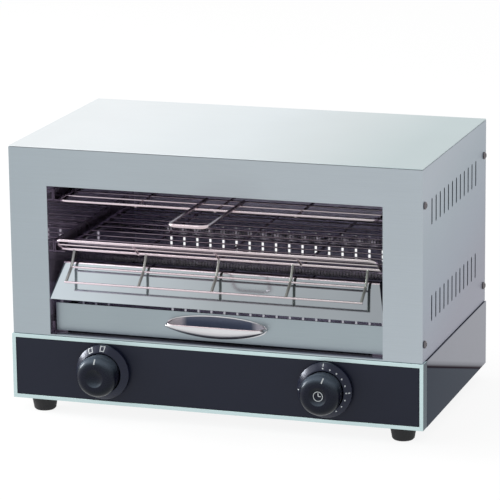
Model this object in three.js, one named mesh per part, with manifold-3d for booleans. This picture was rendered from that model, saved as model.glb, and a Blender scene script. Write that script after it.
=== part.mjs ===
// Single-deck salamander toaster: a folded steel hood over a flat control base, two sliding wire
// racks, four quartz heating tubes, a crumb drawer and two rotary controls.
// Millimetres, +Z up, front towards -Y, X across. Inside the machine group z = 0 is the underside
// of the base and y = 0 is the front face of the hood.

import * as THREE from 'three';
import { mergeVertices } from 'three/addons/utils/BufferGeometryUtils.js';
import Module from 'manifold-3d';

const wasm = await Module();
wasm.setup();

// Driving sizes

const seat = 0.3; // gap between two faces that meet
const slide = 0.8; // side play of a sliding piece
const overrun = 3; // how far a cutter runs past the faces it opens

const hood = { width: 440, depth: 260, height: 199.4, sheet: 1, flange: 14 };
const base = { height: 69.6, proud: 1.5, sheet: 1.2, flange: 12, bezelDepth: 14, bezelLip: 4.2 };
const foot = { height: 16, topRadius: 14, tipRadius: 11.5, edge: 1.5, inX: 25, inY: 20, stud: 3 };
const mouth = { jamb: 41.1, sill: 1.5, header: 40.5, hem: 6 };
const liner = { sheet: 1, setback: 1.1, headroom: 13.4 };
const panel = { thick: 2 };

const vent = { width: 4, length: 27.5, lowerRow: 49, upperRow: 50.4, shift: 4 };
const sideVents = { count: 12, margin: 40 };
const backVents = { count: 19, margin: 83.2, width: 2.6 };
const screw = {
  headRadius: 4, headHeight: 2.2, shankRadius: 1.7, reach: 4, inset: 8, low: 18.4, high: 38.4,
};

const lowerRack = {
  sideGap: 8, level: 88.4, front: 21, backGap: 37, frameWire: 1.8, longWire: 1.4, crossWire: 0.95,
  corner: 9, pitch: 20.1, longShare: 0.51, lipReach: 19, lipRise: 13.5, midWire: 1,
};
const apron = {
  wire: 1.55, barWire: 1.15, sideInset: 14, kneeForward: 9.6, kneeDrop: 16.5, toeForward: 26.3,
  toeDrop: 28.5,
};
const upperRack = {
  sideGap: 9, drop: 16.5, front: 9.5, backGap: 43, frameWire: 1.6, longWire: 1.4, crossWire: 1,
  corner: 10, pitch: 20.65, longShare: 0.5,
};
const pullLoop = { wire: 2, halfWidth: 20, reach: 76, tail: 34, corner: 9, kick: 2.6 };

const rail = { sheet: 1.2, underlap: 3.2, web: 12, front: 20, backGap: 21 };
const deflector = {
  sheet: 1, footLevel: 39.2, topGap: 15, lean: 19, rollRadius: 4.5, flange: 7, topInset: 9.7,
};
const drawer = {
  recess: 12, sheet: 1, sideGap: 2.3, sill: 3.1, faceHeight: 29.8, wallHeight: 14, backGap: 15.7,
};
const runner = { ledge: 12, web: 9, sheet: 1.2 };
const pull = {
  halfWidth: 54, level: 17, drop: 13, rise: 11, reach: 15, lip: 1.5, shell: 1.4, flange: 1.2,
};

const tube = { radius: 6, wall: 1, coilRadius: 3, overhang: 9 };
const tubeGap = { front: 82, back: 37, belowRack: 23, belowCeiling: 18 };
const holder = { thick: 9, height: 18, margin: 12, pinRadius: 1.6, pinLength: 7 };

const knob = {
  fromSide: 101.8, rise: 1.4, radius: 19.6, topRadius: 21.6, length: 28.2, round: 9.5,
  dimpleRadius: 9.6, dimpleDepth: 3.4, boreDepth: 18, stand: 0.8,
};
const scale = { rim: 5, height: 11, floor: 1.5, clearance: 1.6 };
const shaft = { radius: 3, flat: 0.8, tail: 8, play: 0.3 };
const bush = { radius: 5, length: 2.6, play: 0.4 };
const selector = { width: 36, height: 38, depth: 30, tabs: 4 };
const timer = { width: 46, height: 42, depth: 34, bellRadius: 17, bellDepth: 9, tabs: 2 };
const tab = { width: 6.3, thick: 0.8, length: 8, margin: 6 };
const gland = {
  fromSide: 71.5, level: 34, flangeRadius: 11, flangeDepth: 6, bodyRadius: 8, nutRadius: 11, nutDepth: 5,
  bore: 4.5,
};
const block = { poles: 3, pole: 12, depth: 20, height: 15, fromBack: 45, bore: 3, web: 2 };

const pouchPower = { depth: 3, height: 1.3 };
const facets = {
  wire: 8, thinWire: 6, corner: 3, slotEnd: 2, bore: 8, round: 16, knob: 24, pull: 9, arc: 3,
};

// Sizes that follow from the driving ones

const halfHood = hood.width / 2;
const halfBase = halfHood + base.proud;
const seam = base.height;
const hoodTop = seam + hood.height;
const skirtTop = hoodTop - hood.sheet - seat;
const skirtFoot = seam + seat;
const mouthHalf = halfHood - mouth.jamb;
const mouthFoot = seam + mouth.sill;
const mouthTop = hoodTop - mouth.header;
const floorTop = mouthFoot - seat;
const linerFace = mouthHalf + liner.setback;
const linerTop = hoodTop - liner.headroom;
const coverInside = halfHood - hood.sheet;
const backInside = hood.depth - hood.sheet;
const panelBack = panel.thick - base.proud + seat;
const knobLevel = base.height / 2 + knob.rise;
const knobPlace = halfBase - knob.fromSide;
const scaleRadius = seam - base.bezelLip - seat - knobLevel;
const glandPlace = halfBase - gland.fromSide;
const ventRows = [seam + vent.lowerRow, hoodTop - vent.upperRow];
const drawerHalf = mouthHalf - drawer.sideGap;
const drawerFoot = seam + drawer.sill;
const trayFront = drawer.recess + drawer.sheet + seat;
const trayBack = backInside - drawer.backGap;

// What a rack takes from the cavity round it.
const rackIn = (rack, level) => ({
  ...rack, level, halfWidth: linerFace - rack.sideGap, back: backInside - rack.backGap,
});
const lower = rackIn(lowerRack, seam + lowerRack.level);
const upper = rackIn(upperRack, mouthTop - upperRack.drop);

// Finishes

const finish = (color, roughness, metalness) =>
  new THREE.MeshStandardMaterial({ color, roughness, metalness });
const brushedSteel = () => finish(0x9fa8ad, 0.42, 1);
const paleSteel = () => finish(0xd5dbd8, 0.38, 1);
const bareSteel = () => finish(0x8a8d90, 0.5, 1);
const mirrorSteel = () => finish(0xc9d4d3, 0.12, 1);
const chromeWire = () => finish(0xc8c2c4, 0.2, 1);
const aluminium = () => finish(0xc3d6d6, 0.4, 1);
const blackPanel = () => finish(0x262731, 0.45, 0);
const blackPlastic = () => finish(0x2c2e36, 0.35, 0);
const rubber = () => finish(0x17171a, 0.8, 0);
const quartz = () => finish(0xe8e6e0, 0.15, 0);
const ceramic = () => finish(0xe5dfd0, 0.7, 0);
const resistanceWire = () => finish(0x6a6460, 0.6, 1);
const brass = () => finish(0xb79a55, 0.4, 1);

// Solids

function solid(geometry) {
  geometry.deleteAttribute('normal');
  geometry.deleteAttribute('uv');
  const welded = mergeVertices(geometry);
  const corners = Array.from(welded.index.array);
  const triVerts = [];
  for (let i = 0; i < corners.length; i += 3) {
    const [a, b, c] = corners.slice(i, i + 3);
    if (a !== b && b !== c && c !== a) triVerts.push(a, b, c);
  }
  const vertProperties = new Float32Array(welded.attributes.position.array);
  return new wasm.Manifold(
    new wasm.Mesh({ numProp: 3, vertProperties, triVerts: new Uint32Array(triVerts) }),
  );
}

const join = (parts) => parts.reduce((whole, part) => whole.add(part));
const cut = (body, tools) => tools.reduce((rest, tool) => rest.subtract(tool), body);

function toGeometry(body) {
  const { numProp, vertProperties, triVerts } = body.getMesh();
  const geometry = new THREE.BufferGeometry();
  const positions = new Float32Array((vertProperties.length / numProp) * 3);
  for (let i = 0; i < positions.length / 3; i += 1) {
    positions.set(vertProperties.subarray(i * numProp, i * numProp + 3), i * 3);
  }
  geometry.setAttribute('position', new THREE.BufferAttribute(positions, 3));
  geometry.setIndex(new THREE.BufferAttribute(new Uint32Array(triVerts), 1));
  geometry.computeVertexNormals();
  return geometry;
}

function piece(name, body, material) {
  const mesh = new THREE.Mesh(toGeometry(body), material);
  mesh.name = name;
  return mesh;
}

function box([x0, x1], [y0, y1], [z0, z1]) {
  const geometry = new THREE.BoxGeometry(x1 - x0, y1 - y0, z1 - z0);
  geometry.translate((x0 + x1) / 2, (y0 + y1) / 2, (z0 + z1) / 2);
  return solid(geometry);
}

const mirrored = (body) => body.mirror([1, 0, 0]);

// An outline drawn in two axes and thickened along the third. Front outlines are drawn in X and Z
// and grow towards +Y, side outlines in Y and Z towards +X.
const axisX = new THREE.Vector3(1, 0, 0);
const axisY = new THREE.Vector3(0, 1, 0);
const axisZ = new THREE.Vector3(0, 0, 1);
const planes = {
  side: new THREE.Matrix4().makeBasis(axisY, axisZ, axisX),
  front: new THREE.Matrix4().makeBasis(axisX, axisZ, axisY.clone().negate()),
};

function plate(shape, thickness, plane, from) {
  const geometry = new THREE.ExtrudeGeometry(shape, {
    depth: thickness, bevelEnabled: false, curveSegments: facets.slotEnd,
  });
  geometry.applyMatrix4(planes[plane]);
  const start = { side: [from, 0, 0], front: [0, from + thickness, 0] }[plane];
  geometry.translate(...start);
  return solid(geometry);
}

const outline = (points) => new THREE.Shape(points.map(([u, v]) => new THREE.Vector2(u, v)));

const rectangle = ([u0, u1], [v0, v1]) => outline([[u0, v0], [u1, v0], [u1, v1], [u0, v1]]);

// A vertical slot with round ends.
function slot(u, v, width, length) {
  const r = width / 2;
  const reach = length / 2 - r;
  const path = new THREE.Path();
  path.absarc(u, v + reach, r, 0, Math.PI, false);
  path.absarc(u, v - reach, r, Math.PI, 2 * Math.PI, false);
  return path;
}

const roundHole = (u, v, radius) => slot(u, v, 2 * radius, 2 * radius);

// A solid of revolution about an axis through `at`. The profile lists [radius, height] points.
function turned(profile, direction, at, segments = facets.round) {
  const points = profile.map(([r, h]) => new THREE.Vector2(r, h));
  const geometry = new THREE.LatheGeometry(points, segments);
  const turn = new THREE.Quaternion().setFromUnitVectors(axisY, direction);
  geometry.applyQuaternion(turn);
  geometry.translate(...at);
  return solid(geometry);
}

const cylinder = (radius, direction, at, length, segments = facets.round) =>
  turned([[0, 0], [radius, 0], [radius, length], [0, length]], direction, at, segments);

// A bent wire: straight runs between the given points, with each inner corner rounded.
class BentPath extends THREE.Curve {
  constructor(points) {
    super();
    this.points = points;
  }

  getPoint(t, target = new THREE.Vector3()) {
    const last = this.points.length - 1;
    const place = Math.min(Math.max(t, 0), 1) * last;
    const i = Math.min(Math.floor(place), last - 1);
    return target.lerpVectors(this.points[i], this.points[i + 1], place - i);
  }

  getPointAt(u, target) {
    return this.getPoint(u, target);
  }

  getTangentAt(u, target = new THREE.Vector3()) {
    const last = this.points.length - 1;
    const i = Math.round(u * last);
    const before = this.points[Math.max(i - 1, 0)];
    const after = this.points[Math.min(i + 1, last)];
    const here = this.points[i];
    const incoming = here.clone().sub(before).normalize();
    const outgoing = after.clone().sub(here).normalize();
    return target.copy(incoming).add(outgoing).normalize();
  }
}

function roundedCorners(points, radius) {
  const path = [points[0].clone()];
  for (let i = 1; i < points.length - 1; i += 1) {
    const corner = points[i];
    const toward = points[i - 1].clone().sub(corner);
    const away = points[i + 1].clone().sub(corner);
    const bend = (Math.PI - toward.angleTo(away)) / 2;
    const trim = Math.min(radius * Math.tan(bend), toward.length() / 2, away.length() / 2);
    const start = corner.clone().add(toward.setLength(trim));
    const end = corner.clone().add(away.setLength(trim));
    const bow = new THREE.QuadraticBezierCurve3(start, corner, end);
    path.push(...bow.getPoints(facets.corner));
  }
  path.push(points[points.length - 1].clone());
  return path;
}

function wire(points, radius, corner = radius, sides = facets.wire) {
  const path = roundedCorners(points.map((p) => new THREE.Vector3(...p)), corner);
  const section = new THREE.Shape();
  for (let i = 0; i < sides; i += 1) {
    const angle = ((i + 1 / 2) * 2 * Math.PI) / sides;
    const [u, v] = [radius * Math.cos(angle), radius * Math.sin(angle)];
    if (i) section.lineTo(u, v);
    else section.moveTo(u, v);
  }
  section.closePath();
  const geometry = new THREE.ExtrudeGeometry(section, {
    steps: path.length - 1, extrudePath: new BentPath(path),
  });
  return solid(geometry);
}

const thinWire = (points, radius) => wire(points, radius, radius, facets.thinWire);

const range = (count) => Array.from({ length: count }, (_, i) => i);
const centred = (count, pitch) => range(count).map((i) => (i - (count - 1) / 2) * pitch);

// Places of a row of slots that starts and ends a margin inside a given width.
const spread = ({ count, margin }, width) => centred(count, (width - 2 * margin) / (count - 1));

// Base

const footPlaces = [
  ['front_left', -halfHood + foot.inX, foot.inY],
  ['front_right', halfHood - foot.inX, foot.inY],
  ['rear_left', -halfHood + foot.inX, hood.depth - foot.inY],
  ['rear_right', halfHood - foot.inX, hood.depth - foot.inY],
];

function basePan() {
  const front = base.bezelDepth - base.proud + seat;
  const top = seam - seat;
  const t = base.sheet;
  const wide = [-halfBase + t, halfBase - t];
  const shell = cut(box([-halfBase, halfBase], [front, hood.depth], [0, top]), [
    box(wide, [front - overrun, hood.depth - t], [t, top - t]),
    box(
      [-halfBase + base.flange, halfBase - base.flange],
      [front - overrun, hood.depth - base.flange],
      [top - t - overrun, top + overrun],
    ),
    cylinder(gland.bodyRadius + seat, axisY, [glandPlace, hood.depth - t - overrun, gland.level],
      t + 2 * overrun),
  ]);
  const studHoles = footPlaces.map(([, x, y]) =>
    cylinder(foot.stud + seat, axisZ, [x, y, -overrun], t + 2 * overrun));
  return cut(shell, studHoles);
}

function panelBezel() {
  const [front, back] = [-base.proud, base.bezelDepth - base.proud];
  const t = base.sheet;
  const lip = base.bezelLip;
  return cut(box([-halfBase, halfBase], [front, back], [0, seam]), [
    box([-halfBase + t, halfBase - t], [front + t, back + overrun], [t, seam - t]),
    box([-halfBase + lip, halfBase - lip], [front - overrun, back], [lip, seam - lip]),
  ]);
}

function controlPanel() {
  const inset = base.bezelLip + seat;
  const face = rectangle([-halfBase + inset, halfBase - inset], [inset, seam - inset]);
  for (const x of [-knobPlace, knobPlace]) {
    face.holes.push(roundHole(x, knobLevel, bush.radius + bush.play));
  }
  return plate(face, panel.thick, 'front', -base.proud + seat);
}

function cavityFloor() {
  const half = coverInside - seat - hood.sheet - seat;
  return box([-half, half], [hood.sheet + seat, backInside - seat], [seam, floorTop]);
}

function rubberFoot([x, y]) {
  const profile = [
    [0, 0], [foot.tipRadius - foot.edge, 0], [foot.tipRadius, foot.edge],
    [foot.topRadius, foot.height - seat], [foot.stud, foot.height - seat],
    [foot.stud, foot.height + base.sheet + foot.edge], [0, foot.height + base.sheet + foot.edge],
  ];
  return turned(profile, axisZ, [x, y, -foot.height]);
}

// Hood

const flangeFace = coverInside - seat;
const screwRows = [seam + screw.low, hoodTop - screw.high];
const screwColumns = [screw.inset, hood.depth - screw.inset];

// Two upright flanges, folded in behind the side covers, with clearance holes for the cover screws.
function uprightFlanges(from, to, column) {
  const t = hood.sheet;
  const strip = rectangle([from, to], [skirtFoot, skirtTop]);
  for (const z of screwRows) strip.holes.push(roundHole(column, z, screw.shankRadius + seat));
  const right = plate(strip, t, 'side', flangeFace - t);
  return [right, mirrored(right)];
}

function frontFascia() {
  const t = hood.sheet;
  const face = rectangle([-halfHood, halfHood], [skirtFoot, skirtTop]);
  face.holes.push(rectangle([-mouthHalf, mouthHalf], [mouthFoot, mouthTop]));
  return join([
    plate(face, t, 'front', 0),
    box([-mouthHalf, mouthHalf], [0, mouth.hem], [mouthTop, mouthTop + t]),
    ...uprightFlanges(0, hood.flange, screwColumns[0]),
  ]);
}

function backPanel() {
  const t = hood.sheet;
  const face = rectangle([-halfHood, halfHood], [skirtFoot, skirtTop]);
  for (const x of spread(backVents, hood.width)) {
    face.holes.push(slot(x, ventRows[0], backVents.width, vent.length));
  }
  return join([
    plate(face, t, 'front', hood.depth - t),
    ...uprightFlanges(hood.depth - hood.flange, hood.depth, screwColumns[1]),
  ]);
}

function sideCover() {
  const t = hood.sheet;
  const face = rectangle([t + seat, backInside - seat], [skirtFoot, skirtTop]);
  for (const z of ventRows) {
    for (const y of spread(sideVents, hood.depth)) {
      face.holes.push(slot(hood.depth / 2 - vent.shift + y, z, vent.width, vent.length));
    }
  }
  for (const y of screwColumns) {
    for (const z of screwRows) face.holes.push(roundHole(y, z, screw.shankRadius + seat));
  }
  return plate(face, t, 'side', halfHood - t);
}

function coverScrew(y, z) {
  const crown = [
    [screw.headRadius, seat], [screw.headRadius, seat + screw.headHeight / 3],
    [screw.headRadius * Math.SQRT1_2, seat + screw.headHeight * Math.SQRT1_2],
    [0, seat + screw.headHeight],
  ];
  const profile = [
    [0, -screw.reach], [screw.shankRadius, -screw.reach], [screw.shankRadius, seat], ...crown,
  ];
  return turned(profile, axisX, [halfHood, y, z], facets.round / 2);
}

function topCover() {
  const t = hood.sheet;
  const run = [hood.flange + seat + t, hood.depth - hood.flange - seat - t];
  const fold = box([flangeFace - t, flangeFace], run, [hoodTop - hood.flange, hoodTop - t / 2]);
  const sheet = box([-halfHood, halfHood], [0, hood.depth], [hoodTop - t, hoodTop]);
  return join([sheet, fold, mirrored(fold)]);
}

// Cavity

const tubeColumns = { front: tubeGap.front, rear: backInside - tubeGap.back };
const tubeLevels = { lower: lower.level - tubeGap.belowRack, upper: linerTop - tubeGap.belowCeiling };
const tubeRows = Object.entries(tubeLevels).flatMap(([level, z]) =>
  Object.entries(tubeColumns).map(([column, y]) => [`${level}_${column}`, [y, z]]));
const cavityRun = [hood.sheet + seat, backInside - seat];

function cavityLiner() {
  const face = rectangle(cavityRun, [floorTop + seat, linerTop]);
  for (const [, [y, z]] of tubeRows) face.holes.push(roundHole(y, z, tube.radius + 2 * seat));
  return plate(face, liner.sheet, 'side', linerFace);
}

// The ceiling over the upper tubes: a shallow folded trough that throws the heat down.
function reflector() {
  const t = liner.sheet;
  const [front, back] = cavityRun;
  const z = linerTop + seat;
  const rise = (skirtTop - z) / 2;
  const run = rise * 2;
  const lower = [[front, z], [front + run, z], [front + 2 * run, z + rise], [back - 2 * run, z + rise],
    [back - run, z], [back, z]];
  const upper = lower.map(([y, height]) => [y, height + t]).reverse();
  const half = linerFace + liner.sheet;
  return plate(outline([...lower, ...upper]), 2 * half, 'side', -half);
}

// The polished plate below the lower rack. Its top edge rolls back into a short flange.
function deflectorPlate() {
  const { sheet: t, rollRadius: r } = deflector;
  const toe = new THREE.Vector2(hood.sheet + seat, seam + deflector.footLevel);
  const rise = lowerRack.level - deflector.topGap - deflector.footLevel;
  const brow = toe.clone().add(new THREE.Vector2(deflector.lean, rise));
  const slope = brow.clone().sub(toe).normalize();
  const outward = new THREE.Vector2(-slope.y, slope.x);
  const hub = brow.clone().addScaledVector(outward, -r);
  const start = Math.atan2(outward.y, outward.x);
  const heel = toe.clone().addScaledVector(outward, -t);
  const section = new THREE.Shape();
  section.moveTo(toe.x, toe.y);
  section.lineTo(brow.x, brow.y);
  section.absarc(hub.x, hub.y, r, start, Math.PI / 2, true);
  section.lineTo(hub.x + deflector.flange, hub.y + r);
  section.lineTo(hub.x + deflector.flange, hub.y + r - t);
  section.absarc(hub.x, hub.y, r - t, Math.PI / 2, start, false);
  section.lineTo(heel.x, heel.y);
  section.closePath();
  const half = linerFace - seat;
  const narrow = half - deflector.topInset;
  const tall = hub.y + r + overrun;
  const silhouette = outline([
    [-half, heel.y - overrun], [half, heel.y - overrun], [half, toe.y], [narrow, brow.y],
    [narrow, tall], [-narrow, tall], [-narrow, brow.y], [-half, toe.y],
  ]);
  const depth = hub.x + deflector.flange;
  return plate(section, 2 * half, 'side', -half)
    .intersect(plate(silhouette, depth + 2 * overrun, 'front', -overrun));
}

// An angle rail on the right liner: the ledge carries a rack's side wire, the web lies on the liner.
function rackRail(rack) {
  const top = rack.level - rack.frameWire - seat;
  const t = rail.sheet;
  const outer = linerFace - seat;
  const inner = rack.halfWidth - rail.underlap;
  const section = outline([
    [inner, top - t], [outer, top - t], [outer, top - t + rail.web], [outer - t, top - t + rail.web],
    [outer - t, top], [inner, top],
  ]);
  return plate(section, backInside - rail.backGap - rail.front, 'front', rail.front);
}

function drawerRunner() {
  const outer = linerFace - seat;
  const t = runner.sheet;
  const underside = floorTop + seat;
  const ledgeTop = seam + drawer.sill - seat;
  const inner = drawerHalf - runner.ledge;
  const section = outline([
    [inner, underside], [outer, underside], [outer, ledgeTop + runner.web],
    [outer - t, ledgeTop + runner.web], [outer - t, ledgeTop], [inner, ledgeTop],
  ]);
  return plate(section, trayBack - trayFront, 'front', trayFront);
}

// Heating tubes

const holderFace = linerFace + liner.sheet + seat;
const tubeHalf = holderFace + tube.overhang - holder.thick / 2;

function quartzTube([y, z]) {
  const at = [-tubeHalf, y, z];
  const bore = cylinder(tube.radius - tube.wall, axisX, [-tubeHalf - overrun, y, z],
    2 * (tubeHalf + overrun), facets.bore);
  return cylinder(tube.radius, axisX, at, 2 * tubeHalf, facets.bore).subtract(bore);
}

// The winding inside a tube, with a terminal pin at each end that passes out through the holder.
function heatingCoil([y, z]) {
  const winding = tubeHalf - tube.overhang;
  const pin = holderFace + holder.thick + holder.pinLength;
  const profile = [
    [0, -pin], [holder.pinRadius, -pin], [holder.pinRadius, -winding], [tube.coilRadius, -winding],
    [tube.coilRadius, winding], [holder.pinRadius, winding], [holder.pinRadius, pin], [0, pin],
  ];
  return turned(profile, axisX, [0, y, z], facets.bore);
}

// A ceramic bar outside the right liner that holds the ends of one pair of tubes.
function tubeHolder(z) {
  const ends = Object.values(tubeColumns);
  const bar = box(
    [holderFace, holderFace + holder.thick],
    [ends[0] - holder.margin, ends[1] + holder.margin],
    [z - holder.height / 2, z + holder.height / 2],
  );
  const depth = tubeHalf - holderFace + seat;
  return cut(bar, ends.flatMap((y) => [
    cylinder(tube.radius + seat, axisX, [holderFace - overrun, y, z], depth + overrun, facets.bore),
    cylinder(holder.pinRadius + seat, axisX, [holderFace, y, z], holder.thick + overrun, facets.bore),
  ]));
}

// Wire racks

const weldShare = 0.75; // of two touching wires' radii, left between their middles at a weld

const longWirePlaces = ({ halfWidth, longShare }) => centred(3, halfWidth * longShare);

// A flat grid: cross wires over long wires, all welded where they cross.
function grid(rack, longPlaces) {
  const crossLevel = rack.level + rack.frameWire - rack.crossWire;
  const longLevel = crossLevel - (rack.crossWire + rack.longWire) * weldShare;
  const rows = Math.floor((rack.back - rack.front) / rack.pitch - weldShare);
  const bars = range(rows).map((i) => {
    const y = rack.front + (i + 1) * rack.pitch;
    return thinWire([[-rack.halfWidth, y, crossLevel], [rack.halfWidth, y, crossLevel]], rack.crossWire);
  });
  const longs = longPlaces.map((x) =>
    thinWire([[x, rack.front, longLevel], [x, rack.back, longLevel]], rack.longWire));
  return [...bars, ...longs];
}

function lowerRackFrame() {
  const { halfWidth: w, front, back, corner, level: z } = lower;
  const lipY = front - lower.lipReach;
  const lipZ = z + lower.lipRise;
  const middle = [front - lower.lipReach / 2, z + lower.lipRise / 2];
  const half = [
    [0, back, z], [w, back, z], [w, front, z], [w, lipY, lipZ], [0, lipY, lipZ],
  ];
  const right = wire(half, lower.frameWire, corner);
  const longPlaces = longWirePlaces(lower);
  const lipArms = longPlaces.map((x) => thinWire([[x, front, z], [x, lipY, lipZ]], lower.longWire));
  return join([
    right, mirrored(right),
    wire([[-w, front, z], [w, front, z]], lower.frameWire),
    thinWire([[-w, ...middle], [w, ...middle]], lower.midWire),
    ...lipArms,
    ...grid(lower, longPlaces),
    ...apronWires(),
  ]);
}

// The ladder that hangs from the rack's front bar: five bent struts and two cross bars.
function apronWires() {
  const { front, level: z, halfWidth } = lower;
  const knee = [front - apron.kneeForward, z - apron.kneeDrop];
  const toe = [front - apron.toeForward, z - apron.toeDrop];
  const end = halfWidth - apron.sideInset;
  const places = centred(5, end / 2);
  const struts = places.map((x) => thinWire([[x, front, z], [x, ...knee], [x, ...toe]], apron.wire));
  const reach = end + apron.wire;
  const bars = [knee, toe].map((at) => thinWire([[-reach, ...at], [reach, ...at]], apron.barWire));
  return [...struts, ...bars];
}

function upperRackFrame() {
  const { halfWidth: w, front, back, corner, level: z } = upper;
  const right = wire([[0, back, z], [w, back, z], [w, front, z], [0, front, z]], upper.frameWire, corner);
  return join([right, mirrored(right), ...grid(upper, longWirePlaces(upper)), ...loopWires()]);
}

// The pull loop: a U of thick wire welded over the two front wires of the upper rack.
function loopWires() {
  const { front, level: z } = upper;
  const level = z + pullLoop.kick;
  const half = [[0, -pullLoop.reach, level], [pullLoop.halfWidth, -pullLoop.reach, level],
    [pullLoop.halfWidth, front + pullLoop.tail, level]];
  const arm = wire(half, pullLoop.wire, pullLoop.corner);
  return [arm, mirrored(arm)];
}

// Crumb drawer

function drawerTray() {
  const t = drawer.sheet;
  const half = drawerHalf - slide;
  const rim = drawerFoot + drawer.wallHeight;
  return cut(box([-half, half], [trayFront, trayBack], [drawerFoot, rim]), [
    box([-half + t, half - t], [trayFront + t, trayBack - t], [drawerFoot + t, rim + overrun]),
  ]);
}

function drawerFace() {
  const t = drawer.sheet;
  const y = drawer.recess;
  return box([-drawerHalf, drawerHalf], [y, y + t], [drawerFoot, drawerFoot + drawer.faceHeight]);
}

// A cup pull: a lens-shaped flange on the drawer face and a full pouch below its middle, open at the
// top. Seen from the front the pouch narrows to a point at each end, but it stands out nearly as far
// there as in the middle.
function cupPull() {
  const y = drawer.recess - seat;
  const z = drawerFoot + pull.level;
  const shell = pouch(0, y, z).subtract(pouch(pull.shell, y, z));
  const wide = pull.halfWidth + overrun;
  const kept = box([-wide, wide], [y - pull.reach - overrun, y],
    [z - pull.drop - overrun, z + pull.lip]);
  const lens = new THREE.Shape();
  lens.absellipse(0, z, pull.halfWidth, pull.rise, 0, Math.PI, false, 0);
  lens.absellipse(0, z, pull.halfWidth, pull.drop, Math.PI, 2 * Math.PI, false, 0);
  lens.closePath();
  const geometry = new THREE.ExtrudeGeometry(lens, {
    depth: pull.flange, bevelEnabled: false, curveSegments: facets.pull,
  });
  geometry.applyMatrix4(planes.front);
  geometry.translate(0, y, 0);
  return shell.intersect(kept).add(solid(geometry));
}

// The pouch's outside, or its inside when shrunk by the shell: a sphere with its poles at the two
// ends, pulled in towards the ends by one power across and by another in depth.
function pouch(shrink, y, z) {
  const geometry = new THREE.SphereGeometry(1, facets.pull * 2, facets.pull);
  geometry.rotateZ(Math.PI / 2);
  const position = geometry.attributes.position;
  for (let i = 0; i < position.count; i += 1) {
    const [along, out, up] = [position.getX(i), position.getY(i), position.getZ(i)];
    const ring = Math.max(Math.hypot(out, up), Number.EPSILON);
    const depth = (1 - Math.abs(along) ** pouchPower.depth) ** (1 / pouchPower.depth);
    position.setXYZ(i, along, (out / ring) * depth, (up / ring) * ring ** pouchPower.height);
  }
  geometry.scale(pull.halfWidth - shrink, pull.reach - shrink, pull.drop - shrink);
  geometry.translate(0, y, z);
  return solid(geometry);
}

// Rotary controls

const panelFront = -base.proud + seat;
const scaleBack = panelFront - seat;
const knobBack = scaleBack - scale.floor - knob.stand;
const outwards = axisY.clone().negate();

// The fixed ring round a knob that carries its scale: a dished washer over the bush, whose raised
// face slopes down to the rim.
function scaleRing() {
  const bore = bush.radius + bush.play;
  const inner = knob.radius + scale.clearance;
  return turned([
    [bore, 0], [scaleRadius, 0], [scaleRadius, scale.rim], [inner, scale.height],
    [inner, scale.floor], [bore, scale.floor], [bore, 0],
  ], outwards, [0, scaleBack, knobLevel], facets.knob);
}

function knobBody() {
  const top = knob.length - knob.round;
  const rounding = range(facets.arc + 1).map((i) => {
    const angle = (i / facets.arc) * (Math.PI / 2);
    return [
      knob.topRadius - knob.round * (1 - Math.cos(angle)),
      top + knob.round * Math.sin(angle),
    ];
  });
  const dimple = range(facets.arc + 1).map((i) => {
    const share = 1 - i / facets.arc;
    return [knob.dimpleRadius * share, knob.length - knob.dimpleDepth * (1 - share * share)];
  });
  const bore = shaft.radius + shaft.play;
  return turned([
    [0, knob.boreDepth], [bore, knob.boreDepth], [bore, 0], [knob.radius, 0], ...rounding, ...dimple,
  ], outwards, [0, knobBack, knobLevel], facets.knob);
}

// A spindle with a flat filed along the end that the knob grips.
function spindle() {
  const end = knobBack - knob.boreDepth + seat;
  const start = panelBack + seat + shaft.tail;
  const bar = cylinder(shaft.radius, outwards, [0, start, knobLevel], start - end, facets.bore);
  const top = knobLevel + shaft.radius - shaft.flat;
  const flat = box([-shaft.radius - overrun, shaft.radius + overrun],
    [end - overrun, knobBack], [top, top + shaft.radius]);
  return bar.subtract(flat);
}

// A control body behind the panel, with its threaded bush through the panel and its blade terminals.
function controlBody(size, extra) {
  const front = panelBack;
  const back = front + size.depth;
  const body = box([-size.width / 2, size.width / 2], [front, back],
    [knobLevel - size.height / 2, knobLevel + size.height / 2]);
  const neck = cylinder(bush.radius, axisY, [0, front - bush.length, knobLevel], bush.length + seat);
  const span = size.width - 2 * tab.margin;
  const blades = centred(size.tabs, span / (size.tabs - 1)).map((x) =>
    box([x - tab.thick / 2, x + tab.thick / 2], [back - seat, back + tab.length],
      [knobLevel - size.height / 2 + tab.margin, knobLevel - size.height / 2 + tab.margin + tab.width]));
  const bore = cylinder(shaft.radius + shaft.play, axisY, [0, front - bush.length - overrun, knobLevel],
    bush.length + overrun + shaft.tail + 2 * seat + panel.thick);
  return join([body, neck, ...blades, ...extra(back)]).subtract(bore);
}

const selectorBody = () => controlBody(selector, () => []);
const timerBody = () => controlBody(timer, (back) => [
  cylinder(timer.bellRadius, axisY, [0, back - seat, knobLevel + tab.margin / 2], timer.bellDepth + seat),
]);

// Wiring inlet

function terminalBlock() {
  const back = hood.depth - block.fromBack;
  const front = back - block.depth;
  const underside = base.sheet + seat;
  const [middle, top] = [underside + block.height / 2, underside + block.height];
  const around = (x, width) => [glandPlace + x - width / 2, glandPlace + x + width / 2];
  const body = box(around(0, block.poles * block.pole), [front, back], [underside, top]);
  const grooves = centred(block.poles - 1, block.pole).map((x) =>
    box(around(x, block.web), [front - overrun, back + overrun], [middle, top + overrun]));
  const bores = centred(block.poles, block.pole).map((x) =>
    cylinder(block.bore, axisY, [glandPlace + x, front - overrun, middle],
      block.depth + 2 * overrun, facets.wire));
  return cut(body, [...grooves, ...bores]);
}

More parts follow.
